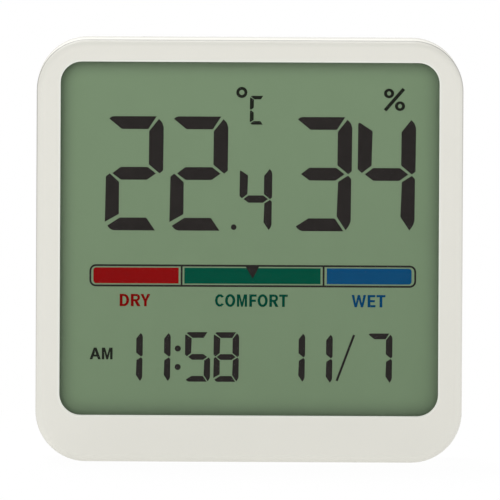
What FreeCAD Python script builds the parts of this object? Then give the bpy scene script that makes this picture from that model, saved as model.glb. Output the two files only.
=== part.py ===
# Digital room thermometer: a rounded square case with a large display window, standing upright.
# Frame: +X to the right, +Y to the back, +Z up. The front faces -Y.
# The origin lies under the middle of the case, on the surface that it stands on.
import FreeCAD, Part
import math
import os
import re
import Sketcher

Vector = FreeCAD.Vector
doc = FreeCAD.newDocument("room_thermometer")
sizes = doc.addObject("Spreadsheet::Sheet", "Sizes")
places = doc.addObject("Spreadsheet::Sheet", "Places")
owner = {}
pieces = []


def full(formula, home=""):
    """The formula with each size's name led by its sheet's name, as expressions need it."""
    def lead(word):
        sheet = owner.get(word.group(), "")
        return ("" if sheet == home else sheet) + word.group()

    return re.sub(r"[a-z][a-z_]*", lead, formula)


def fill(sheet, cells, sign=""):
    """Give the sheet a row for each name, with its cell under that alias."""
    home = sheet.Name + "."
    for row, (name, cell) in enumerate(cells.items(), 1):
        owner[name] = home
        sheet.set(f"A{row}", name)
        sheet.set(f"B{row}", sign + full(cell, home) if sign else cell)
        sheet.setAlias(f"B{row}", name)
    doc.recompute()


def number(formula):
    """The formula's value with the sheets as they are."""
    return float(sizes.evalExpression(full(formula)))


# Driving sizes, in millimetres and degrees
SIZES = {
    # case
    "case_width": 84, "case_height": 83.2, "case_corner": 10, "cavity_corner": 6,
    "side_wall": 2, "face_wall": 1.2, "back_wall": 2, "face_round": 1.5, "back_round": 2,
    "frame_depth": 12, "seam_bevel": 0.3,
    # window
    "border_side": 4.7, "border_top": 4.34, "border_bottom": 9.19,
    "window_corner": 4.2, "window_bevel": 0.25,
    # display stack, front to back
    "tape": 0.1, "tape_setback": 0.15, "lens_thick": 0.8, "lens_corner": 2.5,
    "lens_gap": 0.2, "film": 0.2, "film_setback": 0.3, "glass": 0.7,
    "display_overlap": 0.6, "lens_rise": 1.15, "zebra_inset": 3.9, "zebra_gap": 0.3,
    # holder and board
    "holder_plate": 1.2, "holder_gap": 0.3, "rim_wall": 1, "rim_height": 1.5,
    "rim_inset": 12,
    "standoff": 1.4, "post_radius": 2, "post_inset": 4.5, "post_low": 14,
    "board_thick": 1.2, "board_gap": 1.4,
    # bosses, screws and the seam's lip
    "boss_radius": 2.3, "boss_sink": 0.2, "case_screw_inset": 12, "holder_screw_x": 18,
    "screw_radius": 1, "screw_head": 1.7, "screw_head_height": 1.3, "screw_length": 10,
    "small_screw": 0.8, "small_head": 1.5, "small_head_height": 1, "holder_screw_length": 3.5,
    "thread_gap": 0.02, "screw_gap": 0.15, "screw_wall": 1.2, "counterbore": 8,
    "lip_wall": 1, "lip_reach": 1.5, "hook_x": 28, "hook_half": 3, "hook_reach": 3.5,
    "hook_nose": 0.7, "catch_x": 20, "catch_half": 4, "catch_bite": 0.8,
    # batteries and their contacts
    "cell_diameter": 10.5, "cell_length": 44.5, "nub_radius": 1.9, "nub_length": 1.2,
    "cell_gap": 0.2, "cell_side_gap": 0.4, "bay_floor": 1.2, "floor_gap": 0.3,
    "bay_wall": 2.6, "contact_thick": 0.4, "contact_half": 4, "tab_half": 1.25,
    "tab_proud": 0.2,
    "spring_length": 5, "spring_wire": 0.5, "spring_wide": 3.6, "spring_narrow": 2.2,
    "spring_turns": 4,
    # battery door
    "door_thick": 1.6, "door_gap": 0.3, "door_corner": 2, "ledge": 1.6, "seat_gap": 0.1,
    "row_height": 17.2, "door_tab_x": 12, "door_tab_half": 4, "door_tab_reach": 1.6,
    "door_tab_thick": 1, "door_tab_gap": 0.2, "tongue_half": 6, "tongue_length": 7,
    "tongue_slit": 0.8, "nose_reach": 0.6, "scoop_height": 4, "scoop_depth": 1.2,
    "scoop_half": 7, "grip_half": 3, "grip_width": 0.6, "grip_pitch": 1.3, "grip_depth": 0.3,
    "grip_count": 3,
    # kickstand
    "stand_half": 15, "stand_thick": 2.4, "stand_heel": 1.6, "stand_round": 0.8,
    "stand_foot": 0.8, "stand_open": 35, "stand_gap": 0.4, "stand_notch": 6,
    "stand_corner": 3, "stand_pin": 0.8, "stand_pin_reach": 1.5, "stand_rim": 3,
    "stand_relief": 1, "well_wall": 1.4, "well_side": 2.4, "well_gap": 0.3, "well_web": 0.8,
    # keyhole, vents, buttons and switches
    "keyhole_drop": 12.2, "keyhole_radius": 3.6, "keyhole_slot": 1.8, "keyhole_rise": 5,
    "keyhole_depth": 3.2, "keyhole_wall": 1, "keyhole_room": 0.6, "slot_flat": 0.04,
    "row_drop": 9.2, "vent_half": 0.8, "vent_length": 9, "vent_pitch": 3.4, "vent_inset": 11,
    "vent_count": 6,
    "button_inset": 11, "button_pitch": 9, "button_radius": 3, "button_set_in": 0.5,
    "button_flange": 0.8, "button_flange_reach": 0.8, "button_stem": 1.4, "button_travel": 0.3,
    "switch_half": 3, "switch_height": 3.5, "plunger_radius": 1.7, "plunger_rise": 1.5,
    "plunger_sink": 1, "plunger_room": 0.6,
    # parts on the board
    "blob_radius": 5, "blob_height": 1.1, "blob_round": 0.95, "blob_x": -12, "board_parts_z": 24,
    "crystal_radius": 1, "crystal_lead": 0.2, "crystal_length": 6, "crystal_x": 2,
    "sensor_half": 1.5, "sensor_height": 1.1, "sensor_port": 0.5,
    "chip_length": 1.6, "chip_width": 0.8, "chip_height": 0.5, "chip_pitch": 2.6,
    "chip_count": 6, "chip_x": 9,
    # clearances
    "snug": 0.1, "slack": 0.2, "running": 0.05,
}
fill(sizes, {name: str(size) for name, size in SIZES.items()})

# Places, worked out from the sizes. Depths run from the face to the back as y.
fill(places, {
    "case_depth": "face_wall + tape + lens_thick + lens_gap + 2*film + 2*glass + holder_plate + standoff"
                  " + board_thick + floor_gap + bay_floor + cell_gap + cell_diameter + door_gap"
                  " + door_thick",
    "front_y": "-case_depth/2",
    "lip_y": "front_y + face_wall",
    "lens_front_y": "lip_y + tape",
    "lens_back_y": "lens_front_y + lens_thick",
    "display_y": "lens_back_y + lens_gap",
    "glass_y": "display_y + film",
    "ledge_y": "glass_y + glass",
    "rear_glass_y": "ledge_y + glass",
    "holder_y": "rear_glass_y + film",
    "holder_back_y": "holder_y + holder_plate",
    "board_y": "holder_back_y + standoff",
    "board_back_y": "board_y + board_thick",
    "floor_y": "board_back_y + floor_gap",
    "floor_back_y": "floor_y + bay_floor",
    "cell_y": "floor_back_y + cell_gap + cell_diameter/2",
    "rear_y": "case_depth/2",
    "door_y": "rear_y - door_thick",
    "seat_y": "door_y - seat_gap",
    "wall_y": "rear_y - back_wall",
    "part_y": "front_y + frame_depth",
    "meet_y": "part_y - lip_reach",
    # case and window
    "half_width": "case_width/2",
    "cavity_x": "half_width - side_wall",
    "cavity_high": "case_height - side_wall",
    "window_x": "half_width - border_side",
    "window_high": "case_height - border_top",
    # display
    "display_x": "window_x + display_overlap",
    "display_high": "window_high + display_overlap",
    "zebra_half": "display_x - zebra_inset",
    "ledge_high": "border_bottom - display_overlap",
    "boss_z": "side_wall + boss_radius - boss_sink",
    "display_low": "boss_z + boss_radius + slack",
    "case_screw_x": "half_width - case_screw_inset",
    "screw_seat_y": "rear_y - counterbore",
    # battery bay and door
    "bay_x": "(cell_length + spring_length)/2 + contact_thick",
    "bay_height": "2*cell_diameter + 3*cell_side_gap",
    "door_high": "case_height - row_height",
    "door_low": "door_high - bay_height - 2*ledge",
    "bay_low": "door_low + ledge",
    "bay_high": "door_high - ledge",
    "cell_high_z": "bay_low + 2*cell_side_gap + 1.5*cell_diameter",
    "cell_low_z": "bay_low + cell_side_gap + cell_diameter/2",
    "door_x": "bay_x + ledge",
    "door_tab_y": "wall_y - door_tab_gap - door_tab_thick",
    "door_tab_sweep": "sqrt((rear_y - door_tab_y)^2 + door_tab_reach^2)",
    "tab_slot_y": "rear_y - door_tab_sweep - slack",
    # kickstand
    "well_high": "door_low - scoop_height - well_web",
    "stand_high": "well_high - stand_gap",
    "hinge_y": "rear_y - stand_thick/2",
    "hinge_z": "stand_high - stand_heel",
    "heel_reach": "stand_thick/2*cos(stand_open) + stand_heel*sin(stand_open)",
    "trough_low": "hinge_z - 2*stand_heel",
    "stand_y": "rear_y - stand_thick",
    "well_y": "stand_y - well_gap",
    "trough_y": "hinge_y - heel_reach - running",
    # keyhole, vents and buttons
    "keyhole_z": "case_height - keyhole_drop",
    "row_z": "case_height - row_drop",
    "vent_first": "half_width - vent_inset",
    "sensor_x": "-vent_first + (vent_count - 1)/2*vent_pitch",
    "button_first": "half_width - button_inset - 2*button_pitch",
    "post_high": "door_high - post_radius",
    "switch_y": "board_back_y + switch_height",
    "plunger_y": "switch_y + plunger_rise",
    "post_x": "cavity_x - post_inset",
}, "=")

# Each origin plane with the sense in which its normal runs along the third axis
NORMAL = {"XZ_Plane": -1, "YZ_Plane": 1, "XY_Plane": 1}
START, END, CENTRE = range(1, 4)
BUTTONS = ("mode", "up", "down")


def bind(thing, **formulas):
    """Bind the object's properties to formulas. A double underscore stands for a dot."""
    for name, formula in formulas.items():
        thing.setExpression(name.replace("__", "."), full(formula))


def place(sketch, geometry, vertex, x, y):
    """Fix one point of the sketch at x, y."""
    for kind, formula in (("DistanceX", x), ("DistanceY", y)):
        at = sketch.addConstraint(
            Sketcher.Constraint(kind, -1, START, geometry, vertex, number(formula)))
        sketch.setExpression(f"Constraints[{at}]", full(formula))


def size_arc(sketch, geometry, radius):
    at = sketch.addConstraint(Sketcher.Constraint("Radius", geometry, number(radius)))
    sketch.setExpression(f"Constraints[{at}]", full(radius))


def polygon(*points):
    """A closed outline of straight sides through the points."""
    def draw(sketch):
        corners = [Vector(number(x), number(y), 0) for x, y in points]
        ends = corners[1:] + corners[:1]
        first = sketch.GeometryCount
        sketch.addGeometry([Part.LineSegment(a, b) for a, b in zip(corners, ends)], False)
        for i, (x, y) in enumerate(points):
            sketch.addConstraint(Sketcher.Constraint(
                "Coincident", first + i, END, first + (i + 1) % len(points), START))
            place(sketch, first + i, START, x, y)

    return draw


def rectangle(left, right, low, high):
    return polygon((left, low), (right, low), (right, high), (left, high))


def circle(x, y, radius):
    def draw(sketch):
        at = sketch.addGeometry(
            Part.Circle(Vector(number(x), number(y), 0), Vector(0, 0, 1), number(radius)), False)
        place(sketch, at, CENTRE, x, y)
        size_arc(sketch, at, radius)

    return draw


def rounded(left, right, low, high, radius):
    """A rectangle whose corners are arcs of one radius, joined by tangent sides."""
    def draw(sketch):
        x_low, x_high = f"{left} + {radius}", f"{right} - ({radius})"
        y_low, y_high = f"{low} + {radius}", f"{high} - ({radius})"
        middles = [(x_high, y_low), (x_high, y_high), (x_low, y_high), (x_low, y_low)]
        first = sketch.GeometryCount
        arcs = []
        for i, (x, y) in enumerate(middles):
            turn = (i - 1)*math.pi/2
            whole = Part.Circle(Vector(number(x), number(y), 0), Vector(0, 0, 1), number(radius))
            arcs.append(Part.ArcOfCircle(whole, turn, turn + math.pi/2))
        sides = [Part.LineSegment(arcs[i].EndPoint, arcs[(i + 1) % 4].StartPoint) for i in range(4)]
        sketch.addGeometry(arcs + sides, False)
        for i, (x, y) in enumerate(middles):
            side = first + 4 + i
            sketch.addConstraint(Sketcher.Constraint("Tangent", first + i, END, side, START))
            sketch.addConstraint(
                Sketcher.Constraint("Tangent", side, END, first + (i + 1) % 4, START))
            place(sketch, first + i, CENTRE, x, y)
            size_arc(sketch, first + i, radius)

    return draw


def sketch_on(body, name, plane, start, outlines):
    """A sketch on one of the body's origin planes, moved to start along the third axis."""
    sketch = body.newObject("Sketcher::SketchObject", name + "_sketch")
    support = next(f for f in body.Origin.OriginFeatures if f.Role == plane)
    sketch.AttachmentSupport = [(support, "")]
    sketch.MapMode = "FlatFace"
    sense = "-" if NORMAL[plane] < 0 else ""
    bind(sketch, **{".AttachmentOffset__Base__z": f"{sense}({start})"})
    for draw in outlines:
        draw(sketch)
    return sketch


def pad(body, name, start, end, *outlines, plane="XZ_Plane"):
    """Material from start to end along the plane's third axis."""
    feature = body.newObject("PartDesign::Pad", name)
    feature.Profile = sketch_on(body, name, plane, start, outlines)
    feature.Reversed = NORMAL[plane] < 0
    bind(feature, Length=f"{end} - ({start})")
    return feature


def pocket(body, name, start, end, *outlines, plane="XZ_Plane"):
    """A cut from start to end along the plane's third axis."""
    feature = body.newObject("PartDesign::Pocket", name)
    feature.Profile = sketch_on(body, name, plane, start, outlines)
    feature.Reversed = NORMAL[plane] > 0
    bind(feature, Length=f"{end} - ({start})")
    return feature


def pattern(body, name, original, along, spacing, count):
    """Copies of one feature in a row, evenly spaced."""
    feature = body.newObject("PartDesign::LinearPattern", name)
    feature.Originals = [original]
    feature.Direction = (original.Profile[0], [along])
    bind(feature, Length=f"{spacing}*({count} - 1)", Occurrences=count)
    body.Tip = feature
    return feature


def edges(shape, test):
    """Names of the edges whose bounding box passes the test."""
    return [f"Edge{i}" for i, edge in enumerate(shape.Edges, 1) if test(edge.BoundBox)]


def at_y(formula):
    """A test for edges that lie in one plane across y."""
    return lambda box: abs(box.YMin - number(formula)) < 1e-3 and box.YLength < 1e-3


def ease(body, name, kind, size, test):
    """A fillet or chamfer of the body's last feature, along the edges that pass the test."""
    doc.recompute()
    base = body.Tip
    feature = body.newObject("PartDesign::" + kind, name)
    feature.Base = (base, edges(base.Shape, test))
    bind(feature, **{"Radius" if kind == "Fillet" else "Size": size})
    return feature


def new_body(name):
    body = doc.addObject("PartDesign::Body", name)
    pieces.append(body)
    return body


def box(name, left, right, front, back, low, high):
    """A Part box between six planes."""
    solid = doc.addObject("Part::Box", name)
    bind(solid, Length=f"{right} - ({left})", Width=f"{back} - ({front})", Height=f"{high} - ({low})",
         Placement__Base__x=left, Placement__Base__y=front, Placement__Base__z=low)
    return solid


def rod(name, along, start, end, radius, **across):
    """A Part cylinder between two planes along x or y, with its middle at the other two."""
    solid = doc.addObject("Part::Cylinder", name)
    solid.Placement.Rotation = FreeCAD.Rotation(Vector(0, 0, 1), Vector(along == "x", along == "y", 0))
    middle = {**across, along: start}
    bind(solid, Radius=radius, Height=f"{end} - ({start})",
         **{f"Placement__Base__{axis}": formula for axis, formula in middle.items()})
    return solid


def joined(name, *solids):
    """Several solids as one piece."""
    whole = doc.addObject("Part::MultiFuse", name)
    whole.Shapes = list(solids)
    return whole


def less(name, base, tool):
    whole = doc.addObject("Part::Cut", name)
    whole.Base = base
    whole.Tool = tool
    return whole


def group(name, solids):
    """Separate solids that share one node."""
    whole = doc.addObject("Part::Compound", name)
    whole.Links = solids
    return whole


def keep(solid, name):
    solid.Label = name
    pieces.append(solid)


def front_frame():
    """The front shell: a deep frame with a lip round the window, screw bosses and catches."""
    body = new_body("front_frame")
    pad(body, "shell", "front_y", "part_y",
        rounded("-half_width", "half_width", "0", "case_height", "case_corner"))
    ease(body, "face_edge", "Fillet", "face_round", at_y("front_y"))
    pocket(body, "cavity", "lip_y", "part_y",
           rounded("-cavity_x", "cavity_x", "side_wall", "cavity_high", "cavity_corner"))
    pocket(body, "window", "front_y", "lip_y",
           rounded("-window_x", "window_x", "border_bottom", "window_high", "window_corner"))
    inside = number("window_x + window_bevel")
    ease(body, "window_edge", "Chamfer", "window_bevel",
         lambda edge: at_y("front_y")(edge) and max(abs(edge.XMin), abs(edge.XMax)) < inside)
    pad(body, "case_bosses", "lip_y", "meet_y",
        *(circle(f"{side}case_screw_x", "boss_z", "boss_radius") for side in ("", "-")))
    pad(body, "holder_bosses", "lip_y", "holder_y",
        *(circle(f"{side}holder_screw_x", "boss_z", "boss_radius") for side in ("", "-")))
    pocket(body, "pilot_holes", "lip_y + screw_gap", "meet_y",
           *(circle(f"{side}case_screw_x", "boss_z", "screw_radius + thread_gap")
             for side in ("", "-")))
    pocket(body, "holder_pilots", "lip_y + screw_gap", "holder_y",
           *(circle(f"{side}holder_screw_x", "boss_z", "small_screw + thread_gap")
             for side in ("", "-")))
    for side, x in (("right", "catch_x"), ("left", "-catch_x")):
        pad(body, side + "_catch", "holder_back_y + running", "holder_back_y + running + lip_wall",
            rectangle(f"{x} - catch_half", f"{x} + catch_half", "cavity_high - catch_bite",
                      "cavity_high + boss_sink"))
    for side, x in (("right", "hook_x"), ("left", "-hook_x")):
        pocket(body, side + "_hook_seat", "meet_y - hook_reach - slack",
               "meet_y - hook_reach + lip_wall + slack",
               rectangle(f"{x} - hook_half - slack", f"{x} + hook_half + slack",
                         "cavity_high - slack", "cavity_high + hook_nose + slack"))


def rear_cover():
    """The back shell, with everything that is moulded into it."""
    body = new_body("rear_cover")
    pad(body, "shell_back", "part_y", "rear_y",
        rounded("-half_width", "half_width", "0", "case_height", "case_corner"))
    ease(body, "back_edge", "Fillet", "back_round", at_y("rear_y"))
    ease(body, "seam_edge", "Chamfer", "seam_bevel", at_y("part_y"))
    pocket(body, "back_cavity", "part_y", "wall_y",
           rounded("-cavity_x", "cavity_x", "side_wall", "cavity_high", "cavity_corner"))
    lip_and_hooks(body)
    screw_posts(body)
    battery_bay(body)
    kickstand_well(body)
    keyhole(body)
    vents_and_button_holes(body)


def lip_and_hooks(body):
    """The lip that enters the front frame, and the two hooks along its top."""
    wall = "(snug + lip_wall)"
    inner = rounded(f"-cavity_x + {wall}", f"cavity_x - {wall}", f"side_wall + {wall}",
                    f"cavity_high - {wall}", f"cavity_corner - {wall}")
    outer = rounded("-cavity_x + snug", "cavity_x - snug", "side_wall + snug", "cavity_high - snug",
                    "cavity_corner - snug")
    root = rounded("-cavity_x - snug", "cavity_x + snug", "side_wall - snug", "cavity_high + snug",
                   "cavity_corner + snug")
    pad(body, "lip", "meet_y", "part_y + lip_reach", outer, inner)
    pad(body, "lip_root", "part_y", "part_y + lip_reach", root, inner)
    for side, x in (("right", "hook_x"), ("left", "-hook_x")):
        pad(body, side + "_hook", "meet_y - hook_reach", "part_y",
            rectangle(f"{x} - hook_half", f"{x} + hook_half", "cavity_high - snug - lip_wall",
                      "cavity_high - snug"))
        pad(body, side + "_nose", "meet_y - hook_reach", "meet_y - hook_reach + lip_wall",
            rectangle(f"{x} - hook_half", f"{x} + hook_half", "cavity_high - snug - lip_wall",
                      "cavity_high + hook_nose"))


def screw_posts(body):
    """Two posts that meet the front frame's bosses, each with a counterbored screw hole."""
    x_both = ("case_screw_x", "-case_screw_x")
    tip = "boss_radius - boss_sink - snug"
    pad(body, "post_tips", "meet_y", "wall_y", *(circle(x, "boss_z", tip) for x in x_both))
    thick = "screw_head + screw_gap + screw_wall"
    pad(body, "posts", "part_y + slack", "wall_y + snug", *(circle(x, "boss_z", thick) for x in x_both))
    pocket(body, "screw_holes", "meet_y", "rear_y",
           *(circle(x, "boss_z", "screw_radius + screw_gap") for x in x_both))
    pocket(body, "counterbores", "screw_seat_y", "rear_y",
           *(circle(x, "boss_z", "screw_head + screw_gap") for x in x_both))


def battery_bay(body):
    """The open box for two cells, with the door's seat, tab slots, catch and finger scoop."""
    pad(body, "bay_block", "floor_y", "wall_y + snug",
        rectangle("-bay_x - bay_wall", "bay_x + bay_wall", "bay_low - bay_wall",
                  "bay_high + bay_wall"))
    tab_room = "(door_tab_reach + slack)"
    block_y = "tab_slot_y - lip_wall"
    for side, x in (("right", "door_tab_x"), ("left", "-door_tab_x")):
        pad(body, side + "_tab_block", block_y, "wall_y + snug",
            rectangle(f"{x} - door_tab_half - lip_wall - slack", f"{x} + door_tab_half + lip_wall + slack",
                      "bay_high", f"door_high + {tab_room} + lip_wall"))
    pocket(body, "door_seat", "seat_y", "rear_y",
           rounded("-door_x - slack", "door_x + slack", "door_low - slack", "door_high + slack",
                   "door_corner + slack"))
    pocket(body, "bay", "floor_back_y", "rear_y", rectangle("-bay_x", "bay_x", "bay_low", "bay_high"))
    for side, x in (("right", "door_tab_x"), ("left", "-door_tab_x")):
        left, right = f"{x} - door_tab_half - slack", f"{x} + door_tab_half + slack"
        pocket(body, side + "_tab_slot", "tab_slot_y", "wall_y",
               rectangle(left, right, "bay_high - ledge", f"door_high + {tab_room}"))
        pocket(body, side + "_tab_way", "tab_slot_y", "rear_y",
               rectangle(left, right, "bay_high - ledge", "door_high + slack"))
    left, right = "-tongue_half - slack", "tongue_half + slack"
    pocket(body, "nose_slot", "door_tab_y - slack", "wall_y",
           rectangle(left, right, "door_low - nose_reach - slack", "bay_low + ledge"))
    pocket(body, "nose_way", "door_tab_y - slack", "rear_y",
           rectangle(left, right, "door_low - slack", "bay_low + ledge"))
    pocket(body, "scoop", "rear_y - scoop_depth", "rear_y",
           rectangle("-scoop_half", "scoop_half", "door_low - scoop_height", "door_low"))
    slot = "contact_thick + snug"
    for name, z in (("upper", "cell_high_z"), ("lower", "cell_low_z")):
        pocket(body, name + "_contact_slot", "floor_y", "floor_back_y",
               rectangle(f"bay_x - ({slot})", "bay_x", f"{z} - tab_half - snug",
                         f"{z} + tab_half + snug"))


def kickstand_well(body):
    """The recess that the stand folds into, with sockets for its pins and a trough for its heel."""
    pad(body, "well_block", "trough_y - well_wall", "wall_y + snug",
        rectangle("-stand_half - well_side - slack", "stand_half + well_side + slack", "side_wall/2",
                  "well_high + well_wall"))
    pocket(body, "well", "well_y", "rear_y",
           rectangle("-stand_half - slack", "stand_half + slack", "-side_wall", "well_high"))
    pocket(body, "trough", "trough_y", "rear_y",
           rectangle("-stand_half - slack", "stand_half + slack", "trough_low", "well_high"))
    half = "(stand_half + stand_pin_reach + slack)"
    pocket(body, "pin_sockets", f"-{half}", half, circle("hinge_y", "hinge_z", "stand_pin + running"),
           plane="YZ_Plane")


def keyhole(body):
    """The hanger: a round entry for a screw's head, a slot above it, and room behind."""
    half = "keyhole_radius + keyhole_room"
    low, high = f"keyhole_z - ({half})", f"keyhole_z + keyhole_rise + {half}"
    room_y = "wall_y - keyhole_depth"
    pad(body, "keyhole_block", f"{room_y} - keyhole_wall", "wall_y + snug",
        rectangle(f"-({half}) - keyhole_wall", f"{half} + keyhole_wall", f"{low} - keyhole_wall",
                  f"{high} + keyhole_wall"))
    pocket(body, "keyhole_room_cut", room_y, "wall_y",
           rectangle(f"-({half})", half, low, high))
    pocket(body, "keyhole_entry", "wall_y", "rear_y", circle("0", "keyhole_z", "keyhole_radius"))
    pocket(body, "keyhole_slot_cut", "wall_y", "rear_y",
           rounded("-keyhole_slot", "keyhole_slot", "keyhole_z",
                   "keyhole_z + keyhole_rise + keyhole_slot", "keyhole_slot - slot_flat"))


def vents_and_button_holes(body):
    """A row of vent slots over the climate sensor, and a hole for each button."""
    vent = pocket(body, "vent", "wall_y", "rear_y",
                  rounded("-vent_first - vent_half", "-vent_first + vent_half",
                          "row_z - vent_length/2", "row_z + vent_length/2", "vent_half - slot_flat"))
    doc.recompute()
    pattern(body, "vents", vent, "H_Axis", "vent_pitch", "vent_count")
    hole = pocket(body, "button_hole", "wall_y", "rear_y",
                  circle("button_first", "row_z", "button_radius + snug"))
    doc.recompute()
    pattern(body, "button_holes", hole, "H_Axis", "button_pitch", str(len(BUTTONS)))


def display():
    """The window pane, its tape and the liquid crystal stack behind it."""
    lens_low = "display_low + lens_rise"
    lens = new_body("lens")
    lens_edge = rounded("-display_x", "display_x", lens_low, "display_high", "lens_corner")
    pad(lens, "pane", "lens_front_y", "lens_back_y", lens_edge)
    tape = new_body("lens_tape")
    pad(tape, "ring", "lip_y", "lens_front_y", lens_edge,
        rounded("-window_x - tape_setback", "window_x + tape_setback", "border_bottom - tape_setback",
                "window_high + tape_setback", "window_corner"))
    inner = "(display_x - film_setback)"
    keep(box("front_film", f"-{inner}", inner, "display_y", "glass_y", "ledge_high + film_setback",
             "display_high - film_setback"), "lcd_front_polarizer")
    keep(box("front_glass", "-display_x", "display_x", "glass_y", "ledge_y", "display_low",
             "display_high"), "lcd_front_glass")
    keep(box("back_glass", "-display_x", "display_x", "ledge_y", "rear_glass_y", "ledge_high",
             "display_high"), "lcd_rear_glass")
    keep(box("back_film", f"-{inner}", inner, "rear_glass_y", "holder_y",
             "ledge_high + film_setback", "display_high - film_setback"), "lcd_reflector")
    keep(box("zebra", "-zebra_half", "zebra_half", "ledge_y", "board_y", "display_low + zebra_gap",
             "ledge_high - zebra_gap"), "zebra_strip")


def lcd_holder():
    """The tray that presses the display forward, frames it and carries the board."""
    body = new_body("lcd_holder")
    gap = "holder_gap"
    pad(body, "tray", "holder_y", "holder_back_y",
        rounded(f"-cavity_x + {gap}", f"cavity_x - {gap}", f"side_wall + {gap}",
                f"cavity_high - {gap}", f"cavity_corner - {gap}"))
    side, top = "(display_x + snug)", "(display_high + snug)"
    end = "(cavity_high - rim_inset)"
    pad(body, "rim", "holder_y - rim_height", "holder_y",
        rectangle(side, f"{side} + rim_wall", "rim_inset", end),
        rectangle(f"-{side} - rim_wall", f"-{side}", "rim_inset", end),
        rectangle("-cavity_x + rim_inset", "cavity_x - rim_inset", top,
                  f"{top} + rim_wall"))
    posts = [(x, z) for x in ("post_x", "-post_x") for z in ("post_low", "post_high")]
    pad(body, "posts_for_board", "holder_back_y", "board_y",
        *(circle(x, z, "post_radius") for x, z in posts))
    pocket(body, "post_holes", "holder_y", "board_y",
           *(circle(x, z, "small_screw + thread_gap") for x, z in posts))
    both = ("", "-")
    pocket(body, "boss_notches", "holder_y", "holder_back_y",
           *(circle(f"{s}case_screw_x", "boss_z", "boss_radius + holder_gap") for s in both))
    pocket(body, "ear_holes", "holder_y", "holder_back_y",
           *(circle(f"{s}holder_screw_x", "boss_z", "small_screw + screw_gap") for s in both))
    pocket(body, "zebra_slot", "holder_y", "holder_back_y",
           rectangle("-zebra_half - snug", "zebra_half + snug", "display_low + zebra_gap - snug",
                     "ledge_high - zebra_gap + snug"))


def main_board():
    """The circuit board, with holes for its screws and slots for the contacts' tabs."""
    body = new_body("main_board")
    pad(body, "board", "board_y", "board_back_y",
        rounded("-cavity_x + board_gap", "cavity_x - board_gap", "display_low",
                "cavity_high - board_gap", "cavity_corner - board_gap"))
    pocket(body, "board_holes", "board_y", "board_back_y",
           *(circle(x, z, "small_screw + screw_gap")
             for x in ("post_x", "-post_x") for z in ("post_low", "post_high")))
    pocket(body, "tab_slots", "board_y", "board_back_y",
           *(rectangle("bay_x - contact_thick - snug", "bay_x + snug", f"{z} - tab_half - snug",
                       f"{z} + tab_half + snug") for z in ("cell_high_z", "cell_low_z")))


def board_pieces():
    """What is soldered to the back of the board, apart from the switches."""
    blob = doc.addObject("Part::Cylinder", "blob")
    blob.Placement.Rotation = FreeCAD.Rotation(Vector(0, 0, 1), Vector(0, 1, 0))
    bind(blob, Radius="blob_radius", Height="blob_height", Placement__Base__x="blob_x",
         Placement__Base__y="board_back_y", Placement__Base__z="board_parts_z")
    doc.recompute()
    dome = doc.addObject("Part::Fillet", "dome")
    dome.Base = blob
    rim = number("board_back_y + blob_height")
    dome.Edges = [(int(name[4:]), number("blob_round"), number("blob_round"))
                  for name in edges(blob.Shape, lambda edge: abs(edge.YMin - rim) < 1e-3)]
    keep(dome, "chip_blob")
    crystal_y = "board_back_y + crystal_radius"
    can = rod("can", "x", "crystal_x - crystal_length/2", "crystal_x + crystal_length/2",
              "crystal_radius", y=crystal_y, z="board_parts_z")
    leads = [rod(f"lead_{i}", "x", "crystal_x - crystal_length/2 - 2*crystal_radius", "crystal_x",
                 "crystal_lead", y=crystal_y, z=f"board_parts_z {sign} crystal_radius/2")
             for i, sign in enumerate("+-")]
    keep(joined("crystal", can, *leads), "clock_crystal")
    package = box("package", "sensor_x - sensor_half", "sensor_x + sensor_half", "board_back_y",
                  "board_back_y + sensor_height", "row_z - sensor_half", "row_z + sensor_half")
    port = rod("port", "y", "board_back_y + sensor_height/2", "board_back_y + 2*sensor_height",
               "sensor_port", x="sensor_x", z="row_z")
    keep(less("sensor", package, port), "climate_sensor")
    chips = []
    for i in range(round(number("chip_count"))):
        low = f"board_parts_z + ({i} - chip_count/2)*chip_pitch"
        chips.append(box(f"chip_{i}", "chip_x", "chip_x + chip_length", "board_back_y",
                         "board_back_y + chip_height", low, f"{low} + chip_width"))
    keep(group("chips", chips), "board_parts")


def buttons():
    """Three push buttons, each a cap whose stem rests on its own switch's plunger."""
    for i, role in enumerate(BUTTONS):
        x = f"(button_first + {i}*button_pitch)"
        body = box(f"{role}_case", f"{x} - switch_half", f"{x} + switch_half", "board_back_y",
                   "switch_y", "row_z - switch_half", "row_z + switch_half")
        room = rod(f"{role}_room", "y", "switch_y - plunger_sink - plunger_room", "switch_y + snug",
                   "plunger_radius + running", x=x, z="row_z")
        keep(less(f"{role}_switch_cut", body, room), f"{role}_switch")
        keep(rod(f"{role}_pin", "y", "switch_y - plunger_sink", "plunger_y", "plunger_radius", x=x,
                 z="row_z"), f"{role}_plunger")
        stem = rod(f"{role}_stem", "y", "plunger_y", "wall_y", "button_stem", x=x, z="row_z")
        flange = rod(f"{role}_flange", "y", "wall_y - running - button_flange", "wall_y - running",
                     "button_radius + button_flange_reach", x=x, z="row_z")
        cap = rod(f"{role}_cap", "y", "wall_y - button_flange", "rear_y - button_set_in",
                  "button_radius", x=x, z="row_z")
        keep(joined(f"{role}_whole", stem, flange, cap), f"{role}_button")


def battery_cells():
    """Two cells side by side, head to tail. Each cell's nub rests on a flat contact."""
    for name, z, tip, sign in (("upper", "cell_high_z", "bay_x - contact_thick", "-"),
                               ("lower", "cell_low_z", "-(bay_x - contact_thick)", "+")):
        shoulder = f"{tip} {sign} nub_length"
        base = f"{tip} {sign} cell_length"
        ends = (base, shoulder) if sign == "-" else (shoulder, base)
        nub_ends = (shoulder, tip) if sign == "-" else (tip, shoulder)
        can = rod(f"{name}_can", "x", *ends, "cell_diameter/2", y="cell_y", z=z)
        nub = rod(f"{name}_nub", "x", *nub_ends, "nub_radius", y="cell_y", z=z)
        keep(joined(f"{name}_cell", can, nub), f"battery_cell_{name}")


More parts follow.
